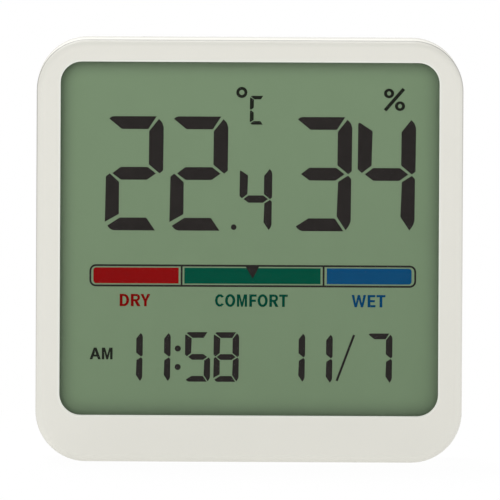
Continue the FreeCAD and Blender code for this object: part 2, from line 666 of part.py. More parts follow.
def contacts():
    """Spring plates at both ends of the bay. Two have tabs that reach through to the board."""
    face = "bay_x - contact_thick"
    top = "cell_y + contact_half"
    for name, z in (("positive", "cell_high_z"), ("negative", "cell_low_z")):
        plate = box(f"{name}_plate", face, "bay_x", "floor_back_y", top, f"{z} - contact_half",
                    f"{z} + contact_half")
        tab = box(f"{name}_tab", face, "bay_x", "board_y - tab_proud", "floor_back_y + tab_proud",
                  f"{z} - tab_half", f"{z} + tab_half")
        keep(joined(f"{name}_whole", plate, tab), f"{name}_contact")
    keep(box("bridge_plate", "-bay_x", f"-({face})", "floor_back_y", top,
             "cell_low_z - contact_half", "cell_high_z + contact_half"), "bridge_contact")


def arc_from(start, heading, end):
    """The arc that leaves start along heading and ends at end."""
    chord = end - start
    along = Vector(chord).normalize()
    bulge = heading - along*heading.dot(along)
    if bulge.Length < 1e-9:
        return Part.LineSegment(start, end)
    turn = math.atan2(bulge.Length, heading.dot(along))
    middle = start + chord*0.5 + bulge.normalize()*(chord.Length/2*math.tan(turn/2))
    return Part.Arc(start, middle, end)


def biarc(start, heading, end, last_heading):
    """Two arcs that join two points with the given headings, smooth where they meet."""
    gap = end - start
    both = heading + last_heading
    square = 2*(1 - heading.dot(last_heading))
    reach = (-gap.dot(both) + math.sqrt(gap.dot(both)**2 + square*gap.dot(gap)))/square
    middle = (start + end + (heading - last_heading)*reach)*0.5
    first = arc_from(start, heading, middle)
    back = arc_from(end, last_heading*-1, middle)
    return [first, Part.Arc(middle, back.value((back.FirstParameter + back.LastParameter)/2), end)]


def coil_point(turn, turns, length, wide, narrow):
    """A point of the coil's middle line and the heading there, on the x axis from the wide end."""
    share = turn/turns
    radius = wide + (narrow - wide)*share
    angle = 2*math.pi*turn
    point = Vector(length*share, radius*math.cos(angle), radius*math.sin(angle))
    swing = Vector(0, -math.sin(angle), math.cos(angle))*(2*math.pi*radius)
    grow = Vector(length, (narrow - wide)*math.cos(angle), (narrow - wide)*math.sin(angle))*(1/turns)
    return point, (swing + grow).normalize()


def coil_shape():
    """A conical coil of round wire along +x, its wide end at the origin."""
    wire = number("spring_wire")
    turns = number("spring_turns")
    cone = (number("spring_length") - wire - 2*number("running"), number("spring_wide"),
            number("spring_narrow"))
    quarters = round(4*turns)
    line = [coil_point(i/4, turns, *cone) for i in range(quarters + 1)]
    curves = [arc for a, b in zip(line, line[1:]) for arc in biarc(*a, *b)]
    path = Part.Wire([curve.toShape() for curve in curves])
    start, heading = line[0]
    section = Part.Wire([Part.Circle(start, heading, wire/2).toShape()])
    fine = [coil_point(i/24, turns, *cone)[0] for i in range(round(24*turns) + 1)]
    least = min(a.distanceToPoint(b) for i, a in enumerate(fine) for b in fine[i + 12:])
    print(f"coil: least gap to itself {least - wire:.2f} mm")
    tube = path.makePipeShell([section], True, False)
    ideal = math.pi*(wire/2)**2*path.Length
    print(f"coil: volume {tube.Volume:.3f}, section times length {ideal:.3f} mm3")
    return tube


def springs():
    """The coils that press the cells' flat ends, one on each end's plate."""
    coil = coil_shape()
    seat = number("bay_x - contact_thick - running - spring_wire/2")
    for name, x, z, turn in (("negative_spring", seat, "cell_low_z", 180),
                             ("bridge_spring", -seat, "cell_high_z", 0)):
        spring = doc.addObject("Part::Feature", name)
        spring.Shape = coil
        spring.Placement = FreeCAD.Placement(Vector(x, number("cell_y"), number(z)),
                                             FreeCAD.Rotation(Vector(0, 0, 1), turn))
        keep(spring, name)


def battery_door():
    """The door: a plate with two tabs above, and a snap tongue between two slits below."""
    body = new_body("battery_door")
    pad(body, "plate", "door_y", "rear_y",
        rounded("-door_x", "door_x", "door_low", "door_high", "door_corner"))
    for side, x in (("right", "door_tab_x"), ("left", "-door_tab_x")):
        left, right = f"{x} - door_tab_half", f"{x} + door_tab_half"
        pad(body, side + "_foot", "door_tab_y", "door_y + snug",
            rectangle(left, right, "door_high - ledge - door_tab_thick", "door_high - slack"))
        pad(body, side + "_tab", "door_tab_y", "door_tab_y + door_tab_thick",
            rectangle(left, right, "door_high - ledge - door_tab_thick",
                      "door_high + door_tab_reach"))
    tongue = "tongue_half - tongue_slit"
    pad(body, "tongue_foot", "door_tab_y", "door_y + snug",
        rectangle(f"-({tongue})", tongue, "door_low + slack", "door_low + ledge"))
    pad(body, "nose", "door_tab_y", "door_tab_y + door_tab_thick",
        rectangle(f"-({tongue})", tongue, "door_low - nose_reach", "door_low + ledge"))
    pocket(body, "slits", "door_tab_y", "rear_y",
           rectangle(tongue, "tongue_half", "door_low - ledge", "door_low + tongue_length"),
           rectangle("-tongue_half", f"-({tongue})", "door_low - ledge", "door_low + tongue_length"))
    grip = pocket(body, "grip", "rear_y - grip_depth", "rear_y",
                  rectangle("-grip_half", "grip_half", "door_low + grip_pitch",
                            "door_low + grip_pitch + grip_width"))
    doc.recompute()
    pattern(body, "grips", grip, "V_Axis", "grip_pitch", "grip_count")


def kickstand():
    """The folding leg, with a pin at each side of its top and a heel that stops it."""
    body = new_body("kickstand")
    pad(body, "leg", "stand_y", "rear_y",
        rectangle("-stand_half", "stand_half", "stand_foot", "stand_high"))
    high, low = number("stand_high"), number("stand_foot")
    back = number("rear_y")
    ease(body, "heel_round", "Fillet", "stand_round",
         lambda edge: edge.YMin > back - 1e-3 and edge.ZMin > high - 1e-3)
    ease(body, "foot_corners", "Fillet", "stand_corner",
         lambda edge: edge.ZMax < low + 1e-3 and edge.XLength < 1e-3)
    pocket(body, "foot_notch", "stand_y", "rear_y", circle("0", "stand_foot", "stand_notch"))
    pocket(body, "relief", "stand_y", "stand_y + stand_relief",
           rectangle("-stand_half + stand_rim", "stand_half - stand_rim",
                     "stand_foot + stand_notch + stand_rim", "trough_low"))
    half = "(stand_half + stand_pin_reach)"
    pad(body, "pins", f"-{half}", half, circle("hinge_y", "hinge_z", "stand_pin"),
        plane="YZ_Plane")


def screw(name, x, z, seat, reach, radius, head, height):
    """A pan-head screw that points to the front, its head's underside at seat."""
    shank = rod(name + "_shank", "y", f"{seat} - ({reach})", seat, radius, x=x, z=z)
    top = rod(name + "_head", "y", seat, f"{seat} + {height}", head, x=x, z=z)
    return joined(name, shank, top)


def fasteners():
    """The screws, each kind in one node."""
    both = (("right", ""), ("left", "-"))
    keep(group("long_screws", [
        screw(f"case_screw_{side}", f"{sign}case_screw_x", "boss_z", "screw_seat_y", "screw_length",
              "screw_radius", "screw_head", "screw_head_height") for side, sign in both]),
        "case_screws")
    keep(group("tray_screws", [
        screw(f"tray_screw_{side}", f"{sign}holder_screw_x", "boss_z", "holder_back_y",
              "holder_screw_length", "small_screw", "small_head", "small_head_height")
        for side, sign in both]), "holder_screws")
    keep(group("short_screws", [
        screw(f"board_screw_{side}_{level}", f"{sign}post_x", level, "board_back_y",
              "board_thick + standoff + holder_plate/2", "small_screw", "small_head",
              "small_head_height")
        for side, sign in both for level in ("post_low", "post_high")]), "board_screws")


def check_and_export():
    """Stop at anything that failed, then write each piece to its own file."""
    doc.recompute()
    for thing in doc.Objects:
        if "Invalid" in thing.State or "Error" in thing.State:
            raise RuntimeError(f"{thing.Label} is {thing.State}")
    os.makedirs("parts", exist_ok=True)
    for piece in pieces:
        if piece.Shape.isNull() or not piece.Shape.isValid():
            raise RuntimeError(f"{piece.Label} has no valid shape")
        piece.Shape.exportStep(f"parts/{piece.Label}.step")


front_frame()
rear_cover()
display()
lcd_holder()
main_board()
board_pieces()
buttons()
battery_cells()
contacts()
springs()
battery_door()
kickstand()
fasteners()
check_and_export()
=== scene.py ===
import math

import bpy
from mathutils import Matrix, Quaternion, Vector


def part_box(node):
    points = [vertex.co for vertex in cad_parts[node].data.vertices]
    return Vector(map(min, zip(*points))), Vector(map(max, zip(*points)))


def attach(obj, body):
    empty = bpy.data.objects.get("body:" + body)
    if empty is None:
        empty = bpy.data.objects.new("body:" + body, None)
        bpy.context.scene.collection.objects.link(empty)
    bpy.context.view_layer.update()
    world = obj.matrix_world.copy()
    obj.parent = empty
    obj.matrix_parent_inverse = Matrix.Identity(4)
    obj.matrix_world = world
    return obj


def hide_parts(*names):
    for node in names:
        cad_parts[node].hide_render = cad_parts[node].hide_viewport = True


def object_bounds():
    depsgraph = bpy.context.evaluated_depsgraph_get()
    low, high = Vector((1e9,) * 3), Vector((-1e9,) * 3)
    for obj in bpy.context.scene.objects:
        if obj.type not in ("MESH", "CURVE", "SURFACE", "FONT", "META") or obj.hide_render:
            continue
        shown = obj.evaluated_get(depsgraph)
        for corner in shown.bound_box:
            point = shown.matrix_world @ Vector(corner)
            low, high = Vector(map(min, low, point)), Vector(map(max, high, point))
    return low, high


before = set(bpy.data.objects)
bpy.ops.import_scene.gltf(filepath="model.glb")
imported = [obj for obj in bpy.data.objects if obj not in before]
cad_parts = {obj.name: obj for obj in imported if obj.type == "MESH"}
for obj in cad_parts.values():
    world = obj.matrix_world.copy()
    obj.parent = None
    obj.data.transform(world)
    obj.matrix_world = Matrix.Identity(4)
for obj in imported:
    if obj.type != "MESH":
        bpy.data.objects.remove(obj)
cad_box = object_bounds()
MM = 0.001


# The studio around the object: a white table, a white room that lights it softly from all sides,
# a broad lamp in front at the left, a weak one low at the right and one high behind, and a camera
# with a long lens, slightly above level.
class Value:
    """One output of a node. Arithmetic on it adds Math nodes to the same material."""

    def __init__(self, finish, socket):
        self.finish = finish
        self.socket = socket

    def math(self, operation, *operands):
        return self.finish.node("ShaderNodeMath", {"operation": operation},
                                dict(enumerate(operands)))

    def __add__(self, other):
        return self.math("ADD", self, other)

    def __sub__(self, other):
        return self.math("SUBTRACT", self, other)

    def __rsub__(self, other):
        return self.math("SUBTRACT", other, self)

    def __mul__(self, other):
        return self.math("MULTIPLY", self, other)

    def __truediv__(self, other):
        return self.math("DIVIDE", self, other)

    def __pow__(self, other):
        return self.math("POWER", self, other)

    def __abs__(self):
        return self.math("ABSOLUTE", self)

    def __gt__(self, other):
        return self.math("GREATER_THAN", self, other)

    def __lt__(self, other):
        return self.math("LESS_THAN", self, other)

    __radd__ = __add__
    __rmul__ = __mul__

    def most(self, other):
        return self.math("MAXIMUM", self, other)

    def least(self, other):
        return self.math("MINIMUM", self, other)

    def step(self, start, end):
        """Rises smoothly from 0 at start to 1 at end."""
        return self.finish.node("ShaderNodeMapRange", {"interpolation_type": "SMOOTHSTEP"},
                                {"Value": self, "From Min": start, "From Max": end})


class Finish:
    """The nodes of one material, or of the room's light."""

    def __init__(self, holder):
        self.holder = holder
        holder.use_nodes = True
        self.tree = holder.node_tree
        self.tree.nodes.clear()

    def node(self, kind, settings=None, inputs=None, output=0):
        """Adds a node, sets it up, feeds its sockets and gives one of its outputs."""
        made = self.tree.nodes.new(kind)
        for name, value in (settings or {}).items():
            setattr(made, name, value)
        for name, value in (inputs or {}).items():
            if isinstance(value, Value):
                self.tree.links.new(value.socket, made.inputs[name])
            else:
                made.inputs[name].default_value = value
        return Value(self, made.outputs[output]) if made.outputs else None

    def seen(self):
        """1 for rays from the camera, off gloss or through glass, and 0 for others."""
        camera, gloss, glass = (self.node("ShaderNodeLightPath", output=f"Is {kind} Ray")
                                for kind in ("Camera", "Glossy", "Transmission"))
        return camera.most(gloss).most(glass)

    def spot(self):
        """The place on the object, in metres."""
        return self.node("ShaderNodeTexCoord", output="Object")

    def along(self, axis):
        return self.node("ShaderNodeSeparateXYZ", inputs={"Vector": self.spot()}, output=axis)

    def noise(self, size, detail=2.0, stretch=(1, 1, 1)):
        """Soft noise from 0 to 1 whose clouds are about size metres across."""
        spot = self.node("ShaderNodeVectorMath", {"operation": "MULTIPLY"},
                         {0: self.spot(), 1: stretch})
        return self.node("ShaderNodeTexNoise", None,
                         {"Vector": spot, "Scale": 1/size, "Detail": detail}, "Fac")

    def mix(self, factor, first, second):
        """From the first colour, where factor is 0, to the second."""
        return self.node("ShaderNodeMix", {"data_type": "RGBA"},
                         {0: factor, 6: first, 7: second}, 2)

    def bump(self, height, depth, strength=1.0):
        return self.node("ShaderNodeBump", None,
                         {"Height": height, "Distance": depth, "Strength": strength})

    def surface(self, **inputs):
        """The main shader, with its sockets named in words, wired to the output."""
        named = {name.replace("_", " ").title().replace("Ior", "IOR"): value
                 for name, value in inputs.items()}
        shader = self.node("ShaderNodeBsdfPrincipled", None, named)
        self.finish(shader)
        return self.holder

    def finish(self, shader):
        lit = "World" if self.holder.id_type == "WORLD" else "Material"
        self.node("ShaderNodeOutput" + lit, None, {"Surface": shader})


def new_finish(name):
    return Finish(bpy.data.materials.new(name))


def tone(red, green, blue, share=1.0):
    """A colour from its linear parts, darkened or lightened by share."""
    return red*share, green*share, blue*share, 1.0


def add_lamp(name, size, place, aim, share):
    """A square lamp that adds share of a plain light level to what faces it at aim."""
    light = bpy.data.lights.new(name, "AREA")
    light.size = size
    way = Vector(aim) - Vector(place)
    light.energy = share*math.pi**2*way.length**2
    lamp = bpy.data.objects.new(name, light)
    lamp.location = place
    lamp.rotation_euler = way.to_track_quat("-Z", "Y").to_euler()
    lamp.visible_camera = False
    bpy.context.collection.objects.link(lamp)


room = Finish(bpy.data.worlds.new("white_room"))
bpy.context.scene.world = room.holder
room_light = 0.54
room.finish(room.node("ShaderNodeBackground", None, {
    "Color": tone(1, 1, 1), "Strength": room_light + (1 - room_light)*room.seen()}))

bpy.ops.object.select_all(action="DESELECT")
bpy.ops.mesh.primitive_plane_add(size=5, location=(0, 0, -0.02*MM))
floor = bpy.context.object
floor.name = "floor"
bpy.ops.object.transform_apply()
paper = new_finish("white_paper")
away = paper.node("ShaderNodeVectorMath", {"operation": "LENGTH"}, {0: paper.spot()}, "Value")
table_light = 0.62
shadow_share = 0.03*(1 - away.step(0.03, 0.16))
matt = paper.node("ShaderNodeBsdfDiffuse", None, {"Color": tone(0.95, 0.95, 0.95)})
glow = paper.node("ShaderNodeEmission", None, {"Color": tone(1, 1, 1), "Strength": 1.0})
paper.finish(paper.node("ShaderNodeMixShader", None, {
    0: table_light + paper.seen()*(1 - table_light - shadow_share), 1: matt, 2: glow}))
floor.data.materials.append(paper.holder)

display_middle = Vector((0, cad_box[0].y, (cad_box[0].z + cad_box[1].z)/2))
add_lamp("front_lamp", 0.8, (-0.4, -0.85, 0.45), display_middle, 0.275)
add_lamp("low_lamp", 0.5, (1.2, -0.35, 0.15), display_middle, 0.15)
add_lamp("back_lamp", 0.8, (-0.3, 0.8, 1.2), display_middle, 0.68)

photo_width = 500
pixels_per_metre = 5080
middle_of_face_px = (249.4, 251.45)
camera_distance = 3.0
camera_azimuth, camera_elevation, camera_roll = (math.radians(a) for a in (0.3, 2.7, 0.285))
lens = bpy.data.cameras.new("long_lens")
lens.lens = lens.sensor_width*camera_distance*pixels_per_metre/photo_width
lens.clip_end = 20
camera = bpy.data.objects.new("camera", lens)
right_of_middle, above_middle = (photo_width/2 - middle_of_face_px[0],
                                 middle_of_face_px[1] - photo_width/2)
aim = display_middle + Vector((right_of_middle, 0, above_middle))/pixels_per_metre
back = Vector((-math.sin(camera_azimuth)*math.cos(camera_elevation),
               -math.cos(camera_azimuth)*math.cos(camera_elevation), math.sin(camera_elevation)))
camera.location = aim + back*camera_distance
camera.rotation_euler = ((-back).to_track_quat("-Z", "Y")
                         @ Quaternion((0, 0, 1), camera_roll)).to_euler()
bpy.context.collection.objects.link(camera)
bpy.context.scene.camera = camera
bpy.context.scene.view_settings.view_transform = "Standard"


# The front shell: a rounded square frame with a deep lower border, moulded in one piece of pale
# warm grey ABS. Its face has a fine spark-eroded grain and a fine line of painted shade along its
# outline, and the bevel round the window is polished and lit by a painted highlight.
WINDOW = {"half_wide": 37.3*MM, "low": 9.19*MM, "high": 78.86*MM, "corner": 4.2*MM}
CASE = {"half_wide": cad_box[1].x, "low": cad_box[0].z, "high": cad_box[1].z, "corner": 10*MM}
painted_outline_y = cad_box[0].y + MM


def dress(material, *names):
    """Gives CAD pieces a finish."""
    for name in names:
        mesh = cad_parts[name].data
        mesh.materials.clear()
        mesh.materials.append(material)


def inside(finish, half_wide, low, high, corner):
    """The distance inwards from a rounded outline, in metres. It is negative outside."""
    across = abs(finish.along("X")) - (half_wide - corner)
    upright = abs(finish.along("Z") - (low + high)/2) - ((high - low)/2 - corner)
    past_corner = (across.most(0)**2 + upright.most(0)**2)**0.5
    return corner - past_corner - across.most(upright).least(0)


def moulded_plastic(name, colour, grain, grain_depth, face=False):
    """Matt moulded ABS: an even colour, faint clouds in it and a grain from the mould. The face's
    window has a polished bevel, lightened towards white as a painted highlight, and a fine grey
    line of painted shade runs where the face's rounding meets the sides, strongest along the top."""
    plastic = new_finish(name)
    clouds = plastic.noise(9*MM, 3)
    specks = plastic.noise(grain)
    shade = plastic.mix(0.6*clouds + 0.4*specks, tone(*colour, 0.975), tone(*colour, 1.025))
    roughness = 0.5 + 0.1*specks
    if face:
        # Painted shade: the colour darkens to grey in a thin line along the outline, more towards
        # the top and the upper left.
        on_rounding = 1 - inside(plastic, **CASE).step(0.12*MM, 0.26*MM)
        on_painted_outline = 1 - abs(plastic.along("Y") - painted_outline_y).step(0.4*MM, 0.6*MM)
        upwards = (plastic.along("Z") - 0.3*plastic.along("X")).step(0, CASE["high"])
        painted_outline_share = 0.95*on_rounding*on_painted_outline*upwards
        shade = plastic.mix(painted_outline_share, shade, tone(*colour, 0.52))
        # Painted highlight: the bevel round the window is lightened towards white; it is also made
        # smoother.
        polish_and_highlight = inside(plastic, **WINDOW).step(-0.42*MM, -0.2*MM)
        shade = plastic.mix(0.55*polish_and_highlight, shade, tone(0.93, 0.95, 0.89))
        roughness = roughness - 0.2*polish_and_highlight
    return plastic.surface(base_color=shade, roughness=roughness, ior=1.45,
                           normal=plastic.bump(specks, grain_depth, 0.5))


front_colour = (0.77, 0.76, 0.695)
dress(moulded_plastic("case_plastic", front_colour, 0.28*MM, 0.006*MM, face=True), "front_frame")


# The window: a clear acrylic pane with an anti-glare face, stuck behind the frame's lip with a
# ring of black tape.
def see_through(name, colour, shine, roughness, head_on):
    """A clear sheet. head_on is the share of light that it reflects straight back."""
    sheet = new_finish(name)
    grazing = sheet.node("ShaderNodeLayerWeight", None, {"Blend": 0.5}, "Facing")
    clear = sheet.node("ShaderNodeBsdfTransparent", None, {"Color": tone(*colour)})
    gloss = sheet.node("ShaderNodeBsdfGlossy", None,
                       {"Color": tone(*shine), "Roughness": roughness})
    sheet.finish(sheet.node("ShaderNodeMixShader", None,
                            {0: head_on + 0.9*grazing**5, 1: clear, 2: gloss}))
    return sheet.holder


dress(see_through("clear_pane", (0.99, 1.0, 0.99), (1, 1, 1), 0.22, 0.001), "lens")

tape = new_finish("black_tape")
fibres = tape.noise(0.4*MM, 3)
dress(tape.surface(base_color=tape.mix(fibres, tone(0.012, 0.012, 0.012), tone(0.03, 0.03, 0.03)),
                   roughness=0.8), "lens_tape")


# The display's four layers, front to back: the polarising film that is seen, two thin glasses
# with the liquid crystal between them, and a reflecting film. The film is darker at the window's
# edges, which shade it.
film_low, film_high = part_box("lcd_front_polarizer")
film_colour = (0.204, 0.279, 0.175)
film = new_finish("front_film")
# Painted light: the film's colour is lighter towards the top and the left, besides its random
# blotches and fine grain.
painted_light_rise = film.along("Z").step(film_low.z, film_high.z)
painted_light_sway = film.along("X").step(film_low.x, film_high.x)
blotches = film.noise(7*MM, 3)
sparkle = film.noise(0.16*MM, 1)
even = 0.03 + 0.4*painted_light_rise + 0.05*(1 - painted_light_sway) + 0.25*blotches + 0.1*sparkle
film_shade = film.mix(even, tone(*film_colour, 0.9), tone(*film_colour, 1.05))
edge_fade = inside(film, **WINDOW).step(-1.2*MM, 3.6*MM)
film_shade = film.mix(edge_fade, tone(0.147, 0.194, 0.13), film_shade)
dress(film.surface(base_color=film_shade, roughness=0.6, ior=1.12,
                   normal=film.bump(sparkle, 0.002*MM, 0.3)), "lcd_front_polarizer")

dress(see_through("display_glass", (0.86, 0.95, 0.88), (0.9, 1.0, 0.93), 0.03, 0.04),
      "lcd_front_glass", "lcd_rear_glass")

mirror = new_finish("reflector_film")
brushing = mirror.noise(0.05*MM, 2, (0.02, 1, 1))
mirror_shade = mirror.mix(brushing, tone(0.30, 0.38, 0.28), tone(0.38, 0.46, 0.35))
dress(mirror.surface(base_color=mirror_shade, metallic=0.7, roughness=0.35 + 0.1*brushing),
      "lcd_reflector")


# The display's image: black liquid crystal segments for the temperature, humidity, time and date,
# and darker printed signs. All are thin flat shapes on the film, with mitred gaps between a
# digit's seven segments.
ink_depth = 0.03*MM
ink_front = film_low.y - 0.02*MM
digit_slant = 0.008
SEGMENTS_OF = {"1": "bc", "2": "abdeg", "3": "abcdg", "4": "bcfg", "5": "acdfg", "7": "abc",
               "8": "abcdefg", "C": "adef"}


def ink(name, colour, share):
    """A matt ink whose cover varies a little."""
    matter = new_finish(name)
    cover = matter.noise(2*MM, 3)
    return matter.surface(
        base_color=matter.mix(cover, tone(*colour, 1 - share), tone(*colour, 1 + share)),
        roughness=0.6 + 0.1*cover, ior=1.06)


def select_only(piece):
    bpy.ops.object.select_all(action="DESELECT")
    piece.select_set(True)
    bpy.context.view_layer.objects.active = piece


def printed(name, outlines, material, front=ink_front, depth=ink_depth, body="case"):
    """A thin flat piece from closed outlines of x, z points in millimetres, where one inside
    another is a hole."""
    curve = bpy.data.curves.new(name, "CURVE")
    curve.dimensions = "2D"
    curve.fill_mode = "BOTH"
    curve.extrude = depth/2
    for outline in outlines:
        spline = curve.splines.new("POLY")
        spline.points.add(len(outline) - 1)
        for point, (x, z) in zip(spline.points, outline):
            point.co = (x*MM, z*MM, 0, 1)
        spline.use_cyclic_u = True
    piece = bpy.data.objects.new(name, curve)
    bpy.context.collection.objects.link(piece)
    piece.rotation_euler.x = math.pi/2
    piece.location.y = front + depth/2
    select_only(piece)
    bpy.ops.object.convert(target="MESH")
    bpy.ops.object.transform_apply()
    piece = bpy.context.object
    piece.data.materials.clear()
    piece.data.materials.append(material)
    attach(piece, body)


def digit(sign, left, low, width, height, bar):
    """The outlines of one sign's lit segments. bar is a segment's width."""
    right, high, middle = left + width, low + height, low + height/2

    def across(share):
        """The x at share of a bar inwards: from the left side, or from the right one below 0."""
        return left + share*bar if share >= 0 else right + share*bar

    shapes = {
        "a": [(across(0.18), high - 0.19*bar), (across(0.38), high - 0.04*bar),
              (across(0.58), high), (across(-0.58), high), (across(-1.22), high - bar),
              (across(1.18), high - bar)],
        "b": [(across(-0.4), high - 0.2*bar), (across(-0.14), high - 0.48*bar),
              (across(-0.02), high - 0.85*bar), (across(-0.02), middle + 0.24*bar),
              (across(-0.3), middle), (across(-1.15), middle + 0.7*bar),
              (across(-1.15), high - 1.15*bar)],
        "c": [(across(-0.3), middle - 0.1*bar), (across(-0.05), middle - 0.38*bar),
              (across(-0.05), low + 0.8*bar), (across(-0.18), low + 0.45*bar),
              (across(-0.44), low + 0.08*bar), (across(-1.16), low + 1.15*bar),
              (across(-1.08), middle - 0.6*bar)],
        "d": [(across(0.12), low + 0.37*bar), (across(1.1), low + bar), (across(-1.3), low + bar),
              (across(-0.61), low), (across(0.66), low), (across(0.46), low + 0.05*bar),
              (across(0.28), low + 0.17*bar)],
        "e": [(across(0.27), middle - 0.01*bar), (across(1.01), middle - 0.68*bar),
              (across(1.02), low + 1.28*bar), (left - 0.07*bar, low + 0.66*bar),
              (left - 0.03*bar, middle - 0.25*bar)],
        "f": [(left - 0.08*bar, high - 0.5*bar), (across(0.04), high - 0.42*bar),
              (across(1.05), high - 1.08*bar), (across(1), middle + 0.68*bar),
              (across(0.25), middle + 0.1*bar), (left - 0.08*bar, middle + 0.4*bar)],
        "g": [(across(0.47), middle), (across(1.13), middle + 0.5*bar),
              (across(-1.24), middle + 0.5*bar), (across(-0.58), middle),
              (across(-1.28), middle - 0.5*bar), (across(1.15), middle - 0.5*bar)],
    }
    return [[(x + digit_slant*(z - middle), z) for x, z in shapes[name]]
            for name in SEGMENTS_OF[sign]]


def arc(x, z, wide, high, start, end, steps=8):
    """Points round a middle, by half width and half height, between two angles in degrees."""
    turns = (math.radians(start + (end - start)*i/steps) for i in range(steps + 1))
    return [(x + wide*math.cos(turn), z + high*math.sin(turn)) for turn in turns]


def oval(x, z, wide, high, corners=24):
    return arc(x, z, wide, high, 0, 360, corners)[:-1]


def stroke(start, end, width):
    """A straight line with square ends."""
    start, end = Vector(start), Vector(end)
    aside = (end - start).normalized().orthogonal()*width/2
    return [start - aside, start + aside, end + aside, end - aside]


segment_ink = ink("segment_ink", (0.0254, 0.0212, 0.0209), 0.15)
sign_ink = ink("sign_ink", (0.0165, 0.0178, 0.0138), 0.15)
big = {"low": 45.55, "width": 11.25, "height": 22.5, "bar": 2.52}
printed("temperature_digits", [
    *digit("2", -28.25, **big), *digit("2", -15.53, **big), oval(-3.1, 46.27, 0.55, 0.55),
    *digit("4", -1.87, low=45.6, width=6.32, height=12.45, bar=1.43)], segment_ink)
printed("humidity_digits", [*digit("3", 8.89, **big), *digit("4", 21.45, **big)],
        segment_ink)
printed("degree_sign", [
    oval(-1.63, 72.83, 1.1, 1.1), oval(-1.63, 72.83, 0.5, 0.5),
    *digit("C", 0.02, low=66.5, width=2.95, height=5.68, bar=0.7)], sign_ink)
printed("percent_sign", [
    oval(27.37, 72.77, 1.01, 0.95), oval(27.37, 72.77, 0.38, 0.42),
    oval(29.53, 70.27, 1.01, 0.95), oval(29.53, 70.27, 0.38, 0.42),
    stroke((26.59, 69.42), (30.28, 73.68), 0.68)], sign_ink)
small = {"low": 15.75, "width": 4.95, "height": 9.79, "bar": 1.14}
printed("time_digits", [
    *digit("1", -25.85, **small), *digit("1", -20.36, **small), *digit("5", -12.5, **small),
    *digit("8", -6.87, **small), oval(-14.01, 22.28, 0.6, 0.6), oval(-14.01, 18.63, 0.6, 0.6)],
    segment_ink)
printed("date_digits", [
    *digit("1", 6.15, **small), *digit("1", 11.57, **(small | {"low": 15.57})),
    *digit("7", 23.34, **(small | {"low": 15.63})), stroke((17.33, 16.02), (20.72, 25.11), 0.45)],
    segment_ink)


# The comfort scale: a framed bar in three coloured inks, with a word under each zone and a black
# pointer that the display moves. The words are plain bold capitals, drawn ten units high.
bowl_of_r = [(2, 10), *arc(4.2, 7.05, 2.9, 2.95, 90, -70)]
# Each capital's outlines and width, and the space before and after it
LETTERS = {
    "A": ([[(0, 0), (2.1, 0), (2.9, 2.3), (5.7, 2.3), (6.5, 0), (8.6, 0), (5.4, 10), (3.2, 10)],
           [(3.5, 4), (5.1, 4), (4.3, 7)]], 8.6, 0, -0.1),
    "C": ([[*arc(4.1, 5, 4.1, 5.2, 36, 324), *arc(4.1, 5, 1.95, 3.3, 316, 44)]], 7.4, 0.5, 0.4),
    "D": ([[(0, 0), (0, 10), (3.1, 10), *arc(3.4, 5, 3.9, 5, 90, -90), (3.1, 0)],
           [(2.2, 1.8), (3, 1.8), *arc(3.2, 5, 1.9, 3.2, -90, 90), (3, 8.2), (2.2, 8.2)]],
          7.3, 0.9, 0.3),
    "E": ([[(0, 0), (6.2, 0), (6.2, 1.8), (2.2, 1.8), (2.2, 4.1), (5.7, 4.1), (5.7, 5.9),
            (2.2, 5.9), (2.2, 8.2), (6, 8.2), (6, 10), (0, 10)]], 6.2, 0.9, 0.3),
    "F": ([[(0, 0), (2.2, 0), (2.2, 4), (5.4, 4), (5.4, 5.8), (2.2, 5.8), (2.2, 8.2), (5.9, 8.2),
            (5.9, 10), (0, 10)]], 5.9, 0.9, 0.3),
    "M": ([[(0, 0), (1.9, 0), (1.9, 7), (3.4, 0), (4.9, 0), (6.4, 7), (6.4, 0), (8.3, 0),
            (8.3, 10), (5.8, 10), (4.15, 3.6), (2.5, 10), (0, 10)]], 8.3, 0.9, 0.9),
    "O": ([oval(4.15, 5, 4.15, 5.2), oval(4.15, 5, 1.95, 3.3)], 8.3, 0.5, 0.4),
    "R": ([[(0, 0), (2.2, 0), (2.2, 4), (2.9, 4), (5, 0), (7.5, 0), *reversed(bowl_of_r), (0, 10)],
           [(2.2, 5.7), (4, 5.7), *arc(4.1, 7, 1, 1.25, -90, 90), (2.2, 8.25)]], 7.5, 0.9, 0),
    "T": ([[(2.4, 0), (4.6, 0), (4.6, 8.2), (7, 8.2), (7, 10), (0, 10), (0, 8.2), (2.4, 8.2)]],
          7, 0.5, 0),
    "W": ([[(2.3, 0), (4.2, 0), (5.7, 6.4), (7.2, 0), (9.1, 0), (11.4, 10), (9.3, 10), (8.1, 3.3),
            (6.6, 10), (4.8, 10), (3.3, 3.3), (2.1, 10), (0, 10)]], 11.4, 0, 0.3),
    "Y": ([[(2.8, 0), (4.8, 0), (4.8, 4.1), (7.6, 10), (5.3, 10), (3.8, 6.1), (2.3, 10), (0, 10),
            (2.8, 4.1)]], 7.6, -0.1, 0),
}


def word(name, text, left, right, low, high, material):
    """A printed word, fitted between its edges in millimetres."""
    outlines, end, after = [], -LETTERS[text[0]][2], 0
    for sign in text:
        shapes, width, before, after = LETTERS[sign]
        start = end + before
        outlines += [[(start + x, z) for x, z in shape] for shape in shapes]
        end = start + width + after
    share = (right - left)/(end - after)
    printed(name, [[(left + x*share, low + z*(high - low)/10) for x, z in outline]
                   for outline in outlines], material)


def rounded_block(left, right, low, high, left_round, right_round, steps=5):
    """A rectangle with rounded left and right ends."""
    corners = [(right, low, -1, 1, right_round, -90), (right, high, -1, -1, right_round, 0),
               (left, high, 1, -1, left_round, 90), (left, low, 1, 1, left_round, 180)]
    outline = []
    for x, z, inward_x, inward_z, radius, start in corners:
        if radius:
            outline += arc(x + radius*inward_x, z + radius*inward_z, radius, radius,
                           start, start + 90, steps)
        else:
            outline.append((x, z))
    return outline


